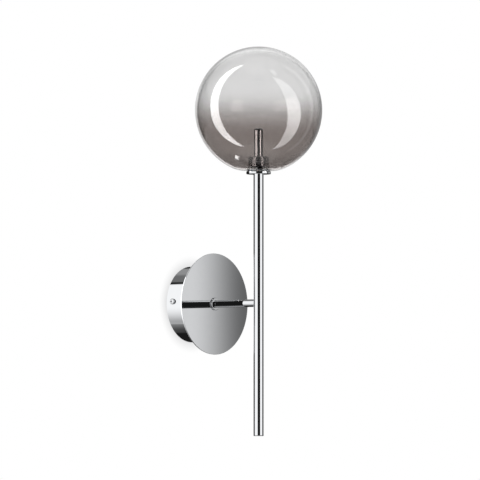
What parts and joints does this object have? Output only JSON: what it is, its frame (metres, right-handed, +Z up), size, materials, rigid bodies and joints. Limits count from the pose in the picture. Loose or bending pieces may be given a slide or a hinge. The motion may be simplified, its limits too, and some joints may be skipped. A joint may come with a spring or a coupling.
{
  "type": "globe wall sconce",
  "caption": "Chrome wall light: a smoke-glass globe on a slim vertical rod, carried by an arm from a round mirror disc and canopy.",
  "frame": {"origin": "on the wall plane, where the arm's axis meets it, at the centre of the wall plate's two screw slots", "axes": "+Z up along the rod, +Y into the wall, -Y out into the room, +X to the right seen from the room"},
  "size_m": [0.15, 0.1795, 0.4588],
  "materials": {
    "chrome": "polished chrome plate on steel and brass",
    "zinc_steel": "zinc-plated sheet steel",
    "brass": "turned brass",
    "screw_steel": "zinc-plated screws",
    "smoke_glass": "blown glass with a smoke gradient, nearly clear at the top",
    "silicone": "translucent silicone",
    "black_rubber": "moulded rubber",
    "white_nylon": "white nylon",
    "driver_white": "white polycarbonate",
    "foam_tape": "foam mounting tape",
    "board_green": "glass-fibre circuit board",
    "transformer_black": "potted transformer",
    "capacitor_aluminium": "sleeved aluminium cans",
    "board_white": "white-faced aluminium circuit board",
    "led_yellow": "phosphor-faced LEDs, unlit",
    "opal": "opal polycarbonate",
    "lead_brown": "brown insulation",
    "lead_blue": "blue insulation",
    "lead_green_yellow": "green and yellow insulation",
    "lead_red": "red insulation",
    "lead_black": "black insulation"
  },
  "bodies": {
    "fixture": {"canopy": "chrome", "front_disc": "chrome", "canopy_screws": "chrome", "arm_tube": "chrome", "arm_collar": "chrome", "rod_tube": "chrome", "rod_end_cap": "chrome", "globe_flange": "chrome", "threaded_sleeve": "chrome", "reflector_post": "chrome", "wall_plate": "zinc_steel", "screw_ears": "zinc_steel", "arm_washer": "zinc_steel", "arm_nut": "zinc_steel", "sleeve_nut": "zinc_steel", "earth_washer": "zinc_steel", "terminal_fixing_screws": "zinc_steel", "rod_insert": "brass", "earth_screw": "brass", "earth_tag": "brass", "terminal_sleeves": "brass", "terminal_screws": "screw_steel", "cable_grommet": "black_rubber", "cable_bush": "white_nylon", "terminal_block": "white_nylon", "driver_case": "driver_white", "driver_cover": "driver_white", "driver_pad": "foam_tape", "driver_board": "board_green", "driver_transformer": "transformer_black", "driver_capacitors": "capacitor_aluminium", "led_board": "board_white", "leds": "led_yellow", "diffuser_ring": "opal", "live_lead": "lead_brown", "neutral_lead": "lead_blue", "earth_lead": "lead_green_yellow", "led_lead_positive": "lead_red", "led_lead_negative": "lead_black"},
    "gasket": {"globe_gasket": "silicone"},
    "globe": {"glass_globe": "smoke_glass"}
  },
  "joints": [
    {"name": "globe_turn", "type": "hinge", "parent": "fixture", "child": "gasket", "pos_m": [0, -0.1045, 0.1553], "axis": [0, 0, 1], "range_deg": [0, 1440]},
    {"name": "globe_rise", "type": "slide", "parent": "gasket", "child": "globe", "axis": [0, 0, 1], "range_m": [0, 0.0112]}
  ],
  "couplings": [
    {"joint": "globe_rise", "follows": "globe_turn", "m_per_rad": 0.00044563}
  ]
}
